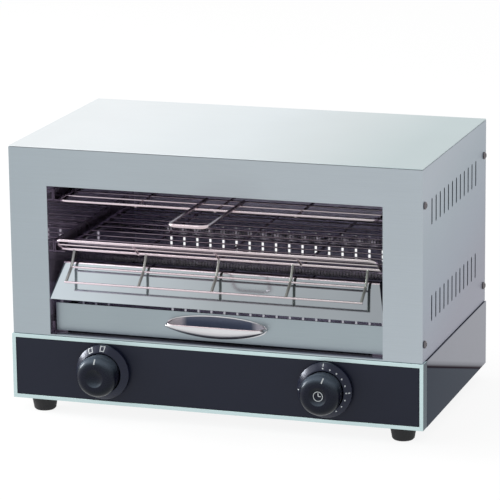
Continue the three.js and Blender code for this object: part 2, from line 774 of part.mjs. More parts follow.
function cableGland() {
  const wall = base.sheet + 2 * seat;
  const profile = [
    [gland.bore, 0], [gland.nutRadius, 0], [gland.nutRadius, gland.nutDepth],
    [gland.bodyRadius, gland.nutDepth], [gland.bodyRadius, gland.nutDepth + wall],
    [gland.flangeRadius, gland.nutDepth + wall],
    [gland.bodyRadius, gland.nutDepth + wall + gland.flangeDepth],
    [gland.bore, gland.nutDepth + wall + gland.flangeDepth], [gland.bore, 0],
  ];
  const start = hood.depth - base.sheet - seat - gland.nutDepth;
  return turned(profile, axisY, [glandPlace, start, gland.level]);
}

// Assembly

const machine = new THREE.Group();

function place(name, body, material, x = 0) {
  const mesh = piece(name, body, material);
  mesh.position.x = x;
  machine.add(mesh);
}

function pair(name, right, material) {
  place(`right_${name}`, right, material());
  place(`left_${name}`, mirrored(right), material());
}

place('base_pan', basePan(), brushedSteel());
place('panel_bezel', panelBezel(), aluminium());
place('control_panel', controlPanel(), blackPanel());
place('cavity_floor', cavityFloor(), bareSteel());
for (const [name, x, y] of footPlaces) place(`foot_${name}`, rubberFoot([x, y]), rubber());

place('front_fascia', frontFascia(), brushedSteel());
place('back_panel', backPanel(), brushedSteel());
place('top_cover', topCover(), paleSteel());
pair('side_cover', sideCover(), brushedSteel);
for (const [column, y] of [['front', screwColumns[0]], ['rear', screwColumns[1]]]) {
  for (const [row, z] of [['low', screwRows[0]], ['high', screwRows[1]]]) {
    pair(`screw_${column}_${row}`, coverScrew(y, z), bareSteel);
  }
}

pair('liner', cavityLiner(), bareSteel);
place('upper_reflector', reflector(), bareSteel());
place('deflector_plate', deflectorPlate(), mirrorSteel());
pair('lower_rack_rail', rackRail(lower), bareSteel);
pair('upper_rack_rail', rackRail(upper), bareSteel);
pair('drawer_runner', drawerRunner(), bareSteel);
for (const [name, row] of tubeRows) {
  place(`quartz_tube_${name}`, quartzTube(row), quartz());
  place(`heating_coil_${name}`, heatingCoil(row), resistanceWire());
}
pair('tube_holder_lower', tubeHolder(tubeLevels.lower), ceramic);
pair('tube_holder_upper', tubeHolder(tubeLevels.upper), ceramic);

place('lower_rack', lowerRackFrame(), chromeWire());
place('upper_rack', upperRackFrame(), chromeWire());
place('drawer_tray', drawerTray(), mirrorSteel());
place('drawer_face', drawerFace(), brushedSteel());
place('drawer_pull', cupPull(), chromeWire());

place('selector_switch', selectorBody(), blackPlastic(), -knobPlace);
place('timer', timerBody(), blackPlastic(), knobPlace);
place('selector_shaft', spindle(), brass(), -knobPlace);
place('timer_shaft', spindle(), brass(), knobPlace);
place('selector_scale_ring', scaleRing(), blackPlastic(), -knobPlace);
place('timer_scale_ring', scaleRing(), blackPlastic(), knobPlace);
place('selector_knob', knobBody(), blackPlastic(), -knobPlace);
place('timer_knob', knobBody(), blackPlastic(), knobPlace);
place('terminal_block', terminalBlock(), ceramic());
place('cable_gland', cableGland(), blackPlastic());

// The origin is below the middle of everything, on the plane that the feet stand on.
const frontmost = -pullLoop.reach - pullLoop.wire * Math.cos(Math.PI / facets.wire);
const rearmost = hood.depth + seat + gland.flangeDepth;
machine.position.set(0, -(frontmost + rearmost) / 2, foot.height);

const toaster = new THREE.Group();
toaster.add(machine);

export default toaster;
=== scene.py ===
"""Studio look of the single-deck salamander toaster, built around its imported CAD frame."""

import math
from types import SimpleNamespace

import bmesh
import bpy
from mathutils import Matrix, Vector

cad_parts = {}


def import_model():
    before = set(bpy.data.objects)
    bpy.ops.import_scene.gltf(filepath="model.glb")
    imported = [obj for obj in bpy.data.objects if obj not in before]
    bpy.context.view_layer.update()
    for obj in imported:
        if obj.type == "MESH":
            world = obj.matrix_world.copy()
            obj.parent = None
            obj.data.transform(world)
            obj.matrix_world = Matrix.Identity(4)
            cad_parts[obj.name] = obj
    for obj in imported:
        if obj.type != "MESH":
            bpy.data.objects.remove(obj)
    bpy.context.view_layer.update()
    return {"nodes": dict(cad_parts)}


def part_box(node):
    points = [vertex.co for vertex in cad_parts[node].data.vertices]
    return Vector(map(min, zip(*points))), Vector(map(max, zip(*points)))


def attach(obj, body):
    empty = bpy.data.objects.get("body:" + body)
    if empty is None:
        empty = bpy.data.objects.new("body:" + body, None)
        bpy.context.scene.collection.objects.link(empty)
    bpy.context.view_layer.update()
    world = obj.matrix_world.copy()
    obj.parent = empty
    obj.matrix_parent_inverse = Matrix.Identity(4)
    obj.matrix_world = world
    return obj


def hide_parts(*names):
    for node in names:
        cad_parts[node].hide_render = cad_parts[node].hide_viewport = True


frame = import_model()
nodes = frame["nodes"]

# Places taken from the frame, in metres

FASCIA_LOW, FASCIA_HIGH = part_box("front_fascia")
PAN_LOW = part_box("base_pan")[0]
HALF_HOOD = FASCIA_HIGH.x
FRONT = FASCIA_LOW.y
SOLE = PAN_LOW.z

# Sizes in millimetres, angles in degrees, and shares of them

MM = 0.001  # a millimetre in Blender's metres
SEAT = 0.3  # gap between two pieces that meet
MERGE = 0.002  # points closer than this become one
PRINT = 0.08  # how far a printed mark stands proud

FACETED = math.cos(math.pi / 8)  # of the radius, at the flats of the frame's eight-sided wires
WELD_SHARE = 0.75  # of two wires' radii, between their middles at a weld

LOWER_RACK = SimpleNamespace(
    frame_wire=1.8, long_wire=1.4, cross_wire=0.95, corner=9, front=21, pitch=20.1,
    long_share=0.51, lip_reach=19, lip_rise=13.5, lip_wire=1,
)
APRON = SimpleNamespace(
    strut=1.55, bar=1.15, struts=5, inset=14, corner=4, knee_forward=9.6, knee_drop=16.5,
    toe_forward=26.3, toe_drop=28.5,
)
UPPER_RACK = SimpleNamespace(
    frame_wire=1.6, long_wire=1.4, cross_wire=1, corner=10, front=9.5, pitch=20.65, long_share=0.5,
)
LOOP = SimpleNamespace(wire=2, half=20, reach=76, tail=34, corner=9, kick=2.6)

GRIP = SimpleNamespace(
    base=19.6, top=21.6, round=9.5, edge=0.6, bore=3.3, sink=3, dimple=9.6, depth=3.4, rim=1.2,
    soft=0.8,
)
POINTER = SimpleNamespace(outer=19.8, step=0.8, steps=6, width=1.2)
CLOCK_SIGN = SimpleNamespace(radius=5, rim=1.1, hands=((0, 3.4), (3, 0)), hand=1)
RING = SimpleNamespace(bore=5.4, rim=5, inner=21.2, floor=1.5, soft=1.1)
SQUARES = SimpleNamespace(clocks=(-27, 3), radius=25.9, reach=2.1, width=1)
DOTS = SimpleNamespace(count=9, first=-1.5, pitch=18.4, radius=23.9, size=0.85)
STROKES = ((-1.5, 25.6, 28.2), (90.5, 25.4, 27.4), (268, 26.2, 28))  # angle, start and end
STROKE_WIDTH = 1.1

PULL = SimpleNamespace(
    half=54, drop=13, rise=11, reach=15, lip=1.5, shell=1.4, flange=1.2, depth_power=7,
    height_power=1.3, rim_share=0.62, end_share=0.9995, dish_shares=(0.965, 0.9),
    floor_shares=(0.95, 0.86), floor_depth_share=0.4, crease=40,
)
DEFLECTOR = SimpleNamespace(sheet=1, lean=19, rise=34.2, roll=4.5, flange=7, inset=9.7, crease=20)
FOOT = SimpleNamespace(
    tip=11.5, top=14, edge=1.5, collar=3, step=0.5, hollow=4, hollow_rise=0.8, hollow_flare=0.6,
    stud=3, stud_rise=2, soft=0.5,
)
SCREW = SimpleNamespace(
    head=4, rise=2.16, rim=0.4, shank=1.7, reach=4.3, recess=2.3, recess_width=0.8,
    turns=(40, 130),
)
TUBE = SimpleNamespace(bore=5, radius=6, soft=0.4)
WINDING = SimpleNamespace(wire=0.5, radius=2.5, pitch=3.4, margin=9, lead=2)

EDGE_WIDTHS = {
    "front_fascia": 0.35, "top_cover": 0.35, "right_side_cover": 0.12, "left_side_cover": 0.12,
    "back_panel": 0.25, "panel_bezel": 0.5, "base_pan": 0.15, "drawer_face": 0.35,
    "drawer_tray": 0.25, "control_panel": 0.3,
}
EDGE_ANGLE = 40  # a sheet's edges that turn by more than this are rounded
CREASE = 32  # a piece's edges that turn by more than this stay crisp

FACETS = SimpleNamespace(
    wire=14, bar=12, thin_wire=10, corner=8, soft=4, knob=96, knob_round=10, dimple=8, dot=20,
    sign=32, hand=4, pouch=24, pull=72, rim=12, lens=96, roll=12, foot=64, screw=40, dome=6,
    recess=6, tube=40, winding=5, turn=14,
)

ALONG = Vector((1, 0, 0))
UPWARD = Vector((0, 0, 1))
OUTWARD = Vector((0, -1, 0))


# Materials

WHITE = (1, 1, 1)
NOISE_LOW, NOISE_HIGH = 0.3, 0.7  # between these a noise fades from one tone to the other


class Shader:
    """A node material under construction, with short calls for the nodes used here."""

    def __init__(self, name):
        self.material = bpy.data.materials.new(name)
        self.material.use_nodes = True
        self.tree = self.material.node_tree
        self.surface = self.tree.nodes["Principled BSDF"]
        self.output = self.tree.nodes["Material Output"]

    def node(self, kind, **values):
        """A new node, with each value put on the input or the property of that name."""
        made = self.tree.nodes.new(kind)
        for key, value in values.items():
            if key in made.inputs:
                made.inputs[key].default_value = value
            else:
                setattr(made, key, value)
        return made

    def link(self, source, target):
        self.tree.links.new(source, target)

    def feed(self, source, name):
        self.link(source, self.surface.inputs[name])

    def socket(self, name, value):
        self.surface.inputs[name].default_value = value

    def coordinates(self, scale=(1, 1, 1)):
        """Object coordinates, stretched along each axis."""
        place = self.node("ShaderNodeTexCoord")
        mapping = self.node("ShaderNodeMapping", Scale=scale)
        self.link(place.outputs["Object"], mapping.inputs["Vector"])
        return mapping.outputs["Vector"]

    def noise(self, vector, scale, detail=3):
        made = self.node("ShaderNodeTexNoise", Scale=scale, Detail=detail)
        self.link(vector, made.inputs["Vector"])
        return made.outputs["Fac"]

    def mean(self, first, second):
        total = self.node("ShaderNodeMath", operation="ADD")
        self.link(first, total.inputs[0])
        self.link(second, total.inputs[1])
        half = self.node("ShaderNodeMath", operation="MULTIPLY")
        half.inputs[1].default_value = 0.5
        self.link(total.outputs[0], half.inputs[0])
        return half.outputs[0]

    def ramp(self, factor, stops):
        made = self.node("ShaderNodeValToRGB")
        elements = made.color_ramp.elements
        while len(elements) < len(stops):
            elements.new(1.0)
        for element, (position, color) in zip(elements, stops):
            element.position = position
            element.color = (*color, 1.0)
        self.link(factor, made.inputs["Fac"])
        return made.outputs["Color"]

    def tones(self, noise, low, high):
        return self.ramp(noise, [(NOISE_LOW, low), (NOISE_HIGH, high)])

    def spread(self, factor, low, high):
        """A factor from 0 to 1, spread between two values."""
        made = self.node("ShaderNodeMapRange")
        made.inputs["To Min"].default_value = low
        made.inputs["To Max"].default_value = high
        self.link(factor, made.inputs["Value"])
        return made.outputs["Result"]

    def bump(self, height, strength, distance):
        made = self.node("ShaderNodeBump", Strength=strength, Distance=distance * MM)
        self.link(height, made.inputs["Height"])
        self.feed(made.outputs["Normal"], "Normal")

    def tint(self, source, toward, start, end, stops):
        """Colours that follow how far a place or a normal reaches in a direction."""
        place = self.node("ShaderNodeTexCoord")
        reach = self.node("ShaderNodeVectorMath", operation="DOT_PRODUCT")
        reach.inputs[1].default_value = toward
        self.link(place.outputs[source], reach.inputs[0])
        share = self.node("ShaderNodeMapRange")
        share.inputs["From Min"].default_value = start
        share.inputs["From Max"].default_value = end
        self.link(reach.outputs["Value"], share.inputs["Value"])
        return self.ramp(share.outputs["Result"], stops)

    def paint(self, color, tints):
        """The base colour: a colour times each of its tints."""
        for tint in tints:
            product = self.node("ShaderNodeVectorMath", operation="MULTIPLY")
            self.link(color, product.inputs[0])
            self.link(self.tint(*tint), product.inputs[1])
            color = product.outputs["Vector"]
        self.feed(color, "Base Color")


def shade(color, factor):
    return tuple(min(1.0, c * factor) for c in color)


GRAIN_ACROSS, GRAIN_BACK, GRAIN_UP = (1, 60, 60), (60, 1, 60), (60, 60, 1)
GRAIN_ROUND = (400, 1, 1)


def brushed(name, color, roughness, grain=GRAIN_ACROSS, tints=(), metallic=1):
    """Sheet steel with a fine directional grain and slow, faint changes of tone."""
    contrast, uneven = 0.05, 0.06
    shader = Shader(name)
    shader.socket("Metallic", metallic)
    lines = shader.noise(shader.coordinates(grain), scale=30)
    cloud = shader.noise(shader.coordinates(), scale=6, detail=2)
    low, high = shade(color, 1 - contrast), shade(color, 1 + contrast)
    shader.paint(shader.tones(shader.mean(lines, cloud), low, high), tints)
    shader.feed(shader.spread(lines, roughness - uneven, roughness + uneven), "Roughness")
    shader.bump(lines, strength=0.25, distance=0.02)
    return shader.material


def plastic(name, color, roughness, bump=0.1, shine=0.5, gleam=WHITE, tints=()):
    """Plastic, rubber, ceramic or print with a fine, even grain."""
    contrast, uneven = 0.08, 0.05
    shader = Shader(name)
    shader.socket("Specular IOR Level", shine)
    shader.socket("Specular Tint", (*gleam, 1))
    grain = shader.noise(shader.coordinates(), scale=900, detail=2)
    low, high = shade(color, 1 - contrast), shade(color, 1 + contrast)
    shader.paint(shader.tones(grain, low, high), tints)
    shader.feed(shader.spread(grain, roughness - uneven, roughness + uneven), "Roughness")
    shader.bump(grain, strength=bump, distance=0.03)
    return shader.material


def polished(name, color, roughness, tints=(), metallic=1, edge=None):
    """Smooth metal. The edge tint tells how white it turns where it is seen from the side."""
    smear_tone, smear_roughness = 0.94, 1.5
    shader = Shader(name)
    shader.socket("Metallic", metallic)
    if edge:
        shader.feed(shader.tint(*edge), "Specular Tint")
    smear = shader.noise(shader.coordinates(), scale=14)
    shader.paint(shader.tones(smear, shade(color, smear_tone), color), tints)
    shader.feed(shader.spread(smear, roughness, roughness * smear_roughness), "Roughness")
    return shader.material


def glass(name, color):
    """Clear, slightly rough glass with faint changes of tone."""
    dust_tone = 0.9
    shader = Shader(name)
    shader.socket("Transmission Weight", 0.97)
    shader.socket("Roughness", 0.22)
    shader.socket("IOR", 1.46)
    dust = shader.noise(shader.coordinates(), scale=40)
    shader.feed(shader.tones(dust, shade(color, dust_tone), color), "Base Color")
    return shader.material


def by_place(toward, start, end, stops):
    """A tint that changes along a direction, between two distances in metres."""
    return "Object", toward, start, end, stops


def by_normal(toward, start, end, stops):
    """A tint for faces that look in a direction, between two cosines."""
    return "Normal", toward, start, end, stops


# Painted light, shade and reflections: each tint below multiplies a base colour, by place or by the
# way a face looks.
HALF_GRID = 0.17  # near the ends of the racks' wires and of the deflector
PAINTED_REFLECTION_SLOPE = (0, 0.2825, 1)  # across the table's slanted reflection, painted on the base's sides
PAINTED_REFLECTION_LOW, PAINTED_REFLECTION_HIGH = 0.0477, 0.0677

# Painted light: the top lighter at the left, darker towards the right.
PAINTED_LIGHT_ACROSS_TOP = by_place((1, 0, 0), -HALF_HOOD, HALF_HOOD, [
    (0.1, WHITE), (0.5, (0.89, 0.92, 0.93)), (0.7, (0.76, 0.80, 0.80)), (0.92, (0.60, 0.68, 0.68)),
])
# Painted light: the fascia slightly darker at its left end.
PAINTED_LIGHT_ACROSS_FRONT = by_place((1, 0, 0), -HALF_HOOD, HALF_HOOD, [
    (0, (0.90, 0.92, 0.92)), (0.5, (0.97, 0.97, 0.96)), (1, WHITE),
])
# Painted shade: the side covers darker towards the bottom.
PAINTED_SHADE_DOWN_SIDE = by_place((0, -0.25, 1), 0.09, 0.28, [
    (0, (0.70, 0.64, 0.70)), (0.35, (0.75, 0.76, 0.81)), (0.72, (0.84, 0.88, 0.89)), (1, WHITE),
])
# Painted reflection: the base's sides dark below a slanted line, where the table is mirrored.
PAINTED_TABLE_REFLECTION = by_place(PAINTED_REFLECTION_SLOPE, PAINTED_REFLECTION_LOW, PAINTED_REFLECTION_HIGH, [
    (0.35, (0.07, 0.08, 0.11)), (0.45, (0.035, 0.02, 0.03)), (0.6, (0.7, 0.7, 0.75)), (0.8, WHITE),
])
# Painted reflection: the same slanted line, dimming the base's sheen where it is seen from the
# side.
PAINTED_TABLE_SHEEN_EDGE = by_place(PAINTED_REFLECTION_SLOPE, PAINTED_REFLECTION_LOW, PAINTED_REFLECTION_HIGH, [
    (0.35, (0.50, 0.52, 0.55)), (0.45, (0.35, 0.33, 0.34)), (0.6, (0.74, 0.74, 0.73)),
    (0.8, (0.89, 0.89, 0.88)),
])
# Painted reflection: the deflector lighter at the left, darker towards the right.
PAINTED_REFLECTION_ACROSS_DEFLECTOR = by_place((1, 0, 0), -HALF_GRID, HALF_GRID, [
    (0, WHITE), (0.5, (0.62, 0.61, 0.60)), (1, (0.50, 0.49, 0.49)),
])
# Painted light: the wires lighter at the left, darker towards the right.
PAINTED_LIGHT_ACROSS_WIRES = by_place((1, 0, 0), -HALF_GRID, HALF_GRID, [
    (0, WHITE), (0.4, (0.80, 0.78, 0.76)), (1, (0.62, 0.66, 0.62)),
])
# Painted shade: the chrome wires darker deeper inside the cavity.
PAINTED_SHADE_INTO_CAVITY = by_place((0, 1, 0), -0.074, -0.05, [(0, WHITE), (1, (0.40, 0.38, 0.44))])
# Painted highlights at both ends of the pull's hollow, with painted shade between them.
PAINTED_CUP_HIGHLIGHTS_AND_SHADE = by_place((1, 0, 0), -PULL.half * MM, PULL.half * MM, [
    (0.02, (1, 0.96, 0.98)), (0.14, (0.9, 0.86, 0.9)), (0.2, (0.16, 0.2, 0.3)),
    (0.84, (0.16, 0.2, 0.3)), (0.9, (0.85, 0.85, 0.9)), (1, (0.95, 0.95, 1)),
])
# Painted light: the base's faces that look back and to the left made lighter.
PAINTED_LIGHT_BACKWARD = by_normal((-0.7, 0.7, 0), 0.4, 0.6, [(0, WHITE), (1, (2.4, 2.36, 1.95))])
# Painted light: the back panel's face towards the front made lighter.
PAINTED_LIGHT_INSIDE_FACE = by_normal((0, -1, 0), 0.4, 0.8, [(0, WHITE), (1, (1.8, 1.56, 1.95))])
# Painted shade on the bezel's right and left side faces.
PAINTED_SHADE_RIGHT_SIDE = by_normal((1, 0, 0), 0.5, 0.9, [(0, WHITE), (1, (0.06, 0.09, 0.12))])
PAINTED_SHADE_LEFT_SIDE = by_normal((-1, 0, 0), 0.5, 0.9, [(0, WHITE), (1, (0.5, 0.5, 0.55))])
# Painted light and shade: the knobs lighter where they face up, dark where they face sideways or
# down.
PAINTED_SKY_LIGHT_AND_SHADE = by_normal((0, 0, 1), -0.4, 0.6, [
    (0, (0.04, 0.04, 0.07)), (0.45, (0.08, 0.06, 0.12)), (0.7, (0.2, 0.2, 0.23)), (1, WHITE),
])
# Painted shade: the pull darker where it faces down.
PAINTED_SHADE_DOWNWARD = by_normal((0, 0, -1), 0.1, 0.95, [(0.2, WHITE), (1, (0.42, 0.38, 0.42))])

FASCIA_STEEL = brushed("fascia_steel", (0.424, 0.474, 0.514), 0.36, tints=[PAINTED_LIGHT_ACROSS_FRONT])
# Painted light and shade: the top cover is a lighter copy of the fascia's steel, the side covers a
# darker one.
LIT_TOP_STEEL = brushed("lit_top_steel", (0.80, 0.84, 0.86), 0.34, tints=[PAINTED_LIGHT_ACROSS_TOP])
SHADED_SIDE_STEEL = brushed("shaded_side_steel", (0.353, 0.40, 0.455), 0.36, GRAIN_BACK, tints=[PAINTED_SHADE_DOWN_SIDE])
BACK_STEEL = brushed(
    "back_steel", (0.42, 0.45, 0.47), 0.36, GRAIN_UP, tints=[PAINTED_LIGHT_INSIDE_FACE], metallic=0.6)
DRAWER_STEEL = brushed("drawer_steel", (0.324, 0.378, 0.407), 0.34)
BEZEL_METAL = brushed("bezel_metal", (0.56, 0.70, 0.71), 0.4, tints=[PAINTED_SHADE_RIGHT_SIDE, PAINTED_SHADE_LEFT_SIDE])
COIL = brushed("coil", (0.13, 0.13, 0.15), 0.5, GRAIN_ROUND)

BASE_STEEL = polished(
    "base_steel", (0.15, 0.16, 0.215), 0.06, tints=[PAINTED_TABLE_REFLECTION, PAINTED_LIGHT_BACKWARD], edge=PAINTED_TABLE_SHEEN_EDGE)
INNER_STEEL = polished("inner_steel", (0.39, 0.335, 0.44), 0.03, metallic=0.65)
RAIL_STEEL = polished("rail_steel", (0.24, 0.20, 0.26), 0.22, metallic=0.7)
FLOOR_STEEL = polished("floor_steel", (0.30, 0.30, 0.38), 0.02, metallic=0.7)
MIRROR_STEEL = polished("mirror_steel", (0.62, 0.69, 0.74), 0.07, tints=[PAINTED_REFLECTION_ACROSS_DEFLECTOR])
# Painted highlight: a lighter copy of the mirror steel along the outside of the deflector's roll.
ROLL_HIGHLIGHT_STEEL = polished("roll_highlight_steel", (0.93, 0.84, 0.90), 0.08, tints=[PAINTED_REFLECTION_ACROSS_DEFLECTOR])
SCREW_STEEL = polished("screw_steel", (0.15, 0.14, 0.15), 0.14)
CHROME = polished("chrome", (0.80, 0.69, 0.75), 0.12, tints=[PAINTED_LIGHT_ACROSS_WIRES, PAINTED_SHADE_INTO_CAVITY])
# Painted shade: a darker, duller copy of the chrome for the apron's struts.
SHADED_STRUT_CHROME = polished(
    "shaded_strut_chrome", (0.46, 0.47, 0.46), 0.2, tints=[PAINTED_LIGHT_ACROSS_WIRES], metallic=0.5)
CUP_CHROME = polished("cup_chrome", (0.70, 0.70, 0.72), 0.24, tints=[PAINTED_SHADE_DOWNWARD])
BRASS = polished("brass", (0.60, 0.45, 0.20), 0.2)

# Painted shade: a matt stand-in for the chrome inside the pull's hollow, with painted highlights at
# its ends.
SHADED_CUP_HOLLOW = plastic("shaded_cup_hollow", (0.82, 0.80, 0.83), 0.3, bump=0.02, tints=[PAINTED_CUP_HIGHLIGHTS_AND_SHADE])
PANEL_BLACK = plastic("panel_black", (0.010, 0.013, 0.028), 0.42, bump=0.05, shine=0.25)
KNOB_BLACK = plastic(
    "knob_black", (0.072, 0.092, 0.12), 0.28, shine=0.22, gleam=(0.78, 0.89, 1), tints=[PAINTED_SKY_LIGHT_AND_SHADE])
RING_BLACK = plastic(
    "ring_black", (0.005, 0.007, 0.022), 0.26, bump=0.04, shine=0.4, gleam=(0.76, 0.81, 0.95))
FOOT_RUBBER = plastic("foot_rubber", (0.010, 0.010, 0.012), 0.7, bump=0.3)
CERAMIC = plastic("ceramic", (0.70, 0.66, 0.58), 0.7, bump=0.2)
PRINT_WHITE = plastic("print_white", (0.62, 0.66, 0.68), 0.5, bump=0.05)
# Painted shade: dark strips that stand for the screws' cross recesses.
PAINTED_RECESS_SHADE = plastic("painted_recess_shade", (0.02, 0.02, 0.025), 0.6)
QUARTZ = glass("quartz", (0.84, 0.80, 0.86))

# The finish of each node, by a part of its name. Where several fit, the longest counts.
FINISHES = {
    "front_fascia": FASCIA_STEEL,
    "top_cover": LIT_TOP_STEEL,
    "side_cover": SHADED_SIDE_STEEL,
    "back_panel": BACK_STEEL,
    "screw_": SCREW_STEEL,
    "base_pan": BASE_STEEL,
    "foot_": FOOT_RUBBER,
    "panel_bezel": BEZEL_METAL,
    "control_panel": PANEL_BLACK,
    "liner": INNER_STEEL,
    "upper_reflector": INNER_STEEL,
    "cavity_floor": FLOOR_STEEL,
    "deflector_plate": MIRROR_STEEL,
    "lower_rack": CHROME,
    "upper_rack": CHROME,
    "lower_rack_rail": RAIL_STEEL,
    "upper_rack_rail": RAIL_STEEL,
    "drawer_runner": RAIL_STEEL,
    "drawer_tray": FLOOR_STEEL,
    "drawer_face": DRAWER_STEEL,
    "drawer_pull": CHROME,
    "quartz_tube": QUARTZ,
    "heating_coil": COIL,
    "tube_holder": CERAMIC,
    "selector_switch": KNOB_BLACK,
    "timer": KNOB_BLACK,
    "_shaft": BRASS,
    "_knob": KNOB_BLACK,
    "scale_ring": RING_BLACK,
    "terminal_block": CERAMIC,
    "cable_gland": KNOB_BLACK,
}


def finish_of(name):
    fits = [key for key in FINISHES if key in name]
    return FINISHES[max(fits, key=len)]


for name, node in nodes.items():
    node.data.materials.clear()
    node.data.materials.append(finish_of(name))


# Shapes


def spot(x, y, z):
    """A point given in millimetres from the hood's front and the base's underside."""
    return Vector((x * MM, FRONT + y * MM, SOLE + z * MM))


def spaced(start, end, steps):
    """Evenly spaced values from start to end, both included."""
    return [start + (end - start) * i / steps for i in range(steps + 1)]


def across(direction):
    """Two unit vectors square to a direction and to each other."""
    helper = UPWARD if abs(direction.z) < 0.9 else ALONG
    first = direction.cross(helper).normalized()
    return first, direction.cross(first).normalized()


def circle(middle, first, second, radius, sides):
    """Points round a middle, in the plane of two unit vectors."""
    angles = [2 * math.pi * i / sides for i in range(sides)]
    return [middle + (first * math.cos(a) + second * math.sin(a)) * radius * MM for a in angles]


def bend(points, corner, steps):
    """A path through straight runs with each inner corner rounded."""
    path = [points[0]]
    for before, here, after in zip(points, points[1:], points[2:]):
        toward, away = before - here, after - here
        half = (math.pi - toward.angle(away)) / 2
        trim = min(corner * math.tan(half), toward.length / 2, away.length / 2)
        start, end = here + toward.normalized() * trim, here + away.normalized() * trim
        for t in spaced(0, 1, steps):
            path.append(start * (1 - t) ** 2 + here * 2 * t * (1 - t) + end * t**2)
    path.append(points[-1])
    return path


def soften(profile, radius):
    """A turned profile with its inner corners rounded."""
    flat = [Vector((r, h, 0)) for r, h in profile]
    return [(p.x, p.y) for p in bend(flat, radius, FACETS.soft)]


class Form:
    """Points in metres and faces, gathered for one piece. Each face keeps its material's number."""

    def __init__(self):
        self.points, self.faces, self.slots = [], [], []

    def add(self, points, faces, slot=0):
        start = len(self.points)
        self.points += [tuple(p) for p in points]
        self.faces += [tuple(start + i for i in face) for face in faces]
        self.slots += [slot] * len(faces)

    def loft(self, rings, capped=True, closed=False, slot=0):
        """Quads between rings of equal length. A closed loft joins its last ring to its first."""
        count = len(rings[0])
        faces = []
        for i in range(len(rings) - (0 if closed else 1)):
            here, there = i * count, (i + 1) % len(rings) * count
            for j in range(count):
                k = (j + 1) % count
                faces.append((here + j, here + k, there + k, there + j))
        if capped and not closed:
            last = (len(rings) - 1) * count
            faces.append(tuple(range(count))[::-1])
            faces.append(tuple(range(last, last + count)))
        self.add([p for ring in rings for p in ring], faces, slot)

    def grid(self, rows, slot=0):
        """Quads between open rows of equal length."""
        count = len(rows[0])
        faces = [
            (i * count + j, i * count + j + 1, (i + 1) * count + j + 1, (i + 1) * count + j)
            for i in range(len(rows) - 1)
            for j in range(count - 1)
        ]
        self.add([p for row in rows for p in row], faces, slot)


def tube(form, path, radius, sides=FACETS.wire, closed=False, slot=0):
    """A round wire along a path, its rings carried along without twist."""
    count = len(path)
    tangents = []
    for i in range(count):
        before = path[i - 1] if closed or i else path[0]
        after = path[(i + 1) % count] if closed or i < count - 1 else path[-1]
        tangents.append((after - before).normalized())
    first = across(tangents[0])[0]
    rings = []
    for place, tangent in zip(path, tangents):
        first = (first - tangent * first.dot(tangent)).normalized()
        rings.append(circle(place, first, tangent.cross(first), radius, sides))
    form.loft(rings, closed=closed, slot=slot)


def wire(form, points, radius, corner=0, sides=FACETS.wire, slot=0):
    """A wire through points given as for spot()."""
    places = [spot(*p) for p in points]
    path = bend(places, corner * MM, FACETS.corner) if corner else places
    tube(form, path, radius, sides, slot=slot)


def hoop(form, points, radius, corner):
    """A closed wire: the path starts in the middle of its last run."""
    places = [spot(*p) for p in points]
    middle = (places[0] + places[-1]) / 2
    path = bend([middle, *places, middle], corner * MM, FACETS.corner)
    tube(form, path[:-1], radius, closed=True)


def turned(form, profile, centre, direction, sides, slot=0, capped=True):
    """A profile of (radius, height) in millimetres, turned round an axis."""
    first, second = across(direction)
    rings = [
        circle(centre + direction * height * MM, first, second, radius, sides)
        for radius, height in profile
    ]
    form.loft(rings, capped=capped, slot=slot)


def piece(name, form, materials, body, replaces, crease=CREASE):
    """A mesh object with smooth faces and crisp edges, riding on its body."""
    mesh = bpy.data.meshes.new(name)
    mesh.from_pydata(form.points, [], form.faces)
    for material in materials:
        mesh.materials.append(material)
    for face, number in zip(mesh.polygons, form.slots):
        face.material_index = number
    edit = bmesh.new()
    edit.from_mesh(mesh)
    bmesh.ops.remove_doubles(edit, verts=edit.verts, dist=MERGE * MM)
    bmesh.ops.recalc_face_normals(edit, faces=edit.faces)
    for face in edit.faces:
        face.smooth = True
    for edge in edit.edges:
        edge.smooth = edge.calc_face_angle(math.pi) < math.radians(crease)
    edit.to_mesh(mesh)
    edit.free()
    made = bpy.data.objects.new(name, mesh)
    bpy.context.scene.collection.objects.link(made)
    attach(made, body)
    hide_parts(*replaces)


# Wire racks


def placed(node, rack, rise):
    """A rack's sizes with its half width, back and level, from the box of its frame node."""
    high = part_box(node)[1]
    inset = rack.frame_wire * FACETED
    return SimpleNamespace(
        **vars(rack),
        half=high.x / MM - inset,
        back=(high.y - FRONT) / MM - inset,
        level=(high.z - SOLE) / MM - inset - rise,
    )


def long_places(rack):
    return [share * rack.half * rack.long_share for share in (-1, 0, 1)]


def rack_grid(form, rack):
    """Cross wires over three long wires."""
    cross_level = rack.level + rack.frame_wire - rack.cross_wire
    long_level = cross_level - (rack.cross_wire + rack.long_wire) * WELD_SHARE
    rows = math.floor((rack.back - rack.front) / rack.pitch - WELD_SHARE)
    for i in range(rows):
        y = rack.front + (i + 1) * rack.pitch
        ends = [(-rack.half, y, cross_level), (rack.half, y, cross_level)]
        wire(form, ends, rack.cross_wire * FACETED, sides=FACETS.thin_wire)
    for x in long_places(rack):
        ends = [(x, rack.front, long_level), (x, rack.back, long_level)]
        wire(form, ends, rack.long_wire * FACETED, sides=FACETS.thin_wire)


def apron(form, rack):
    """The ladder below the lower rack's front: bent struts and two cross bars."""
    knee = (rack.front - APRON.knee_forward, rack.level - APRON.knee_drop)
    toe = (rack.front - APRON.toe_forward, rack.level - APRON.toe_drop)
    end = rack.half - APRON.inset
    for share in spaced(-1, 1, APRON.struts - 1):
        x = end * share
        path = [(x, rack.front, rack.level), (x, *knee), (x, *toe)]
        wire(form, path, APRON.strut, APRON.corner, FACETS.bar, slot=1)
    for place in (knee, toe):
        ends = [(-end - APRON.strut, *place), (end + APRON.strut, *place)]
        wire(form, ends, APRON.bar, sides=FACETS.bar)


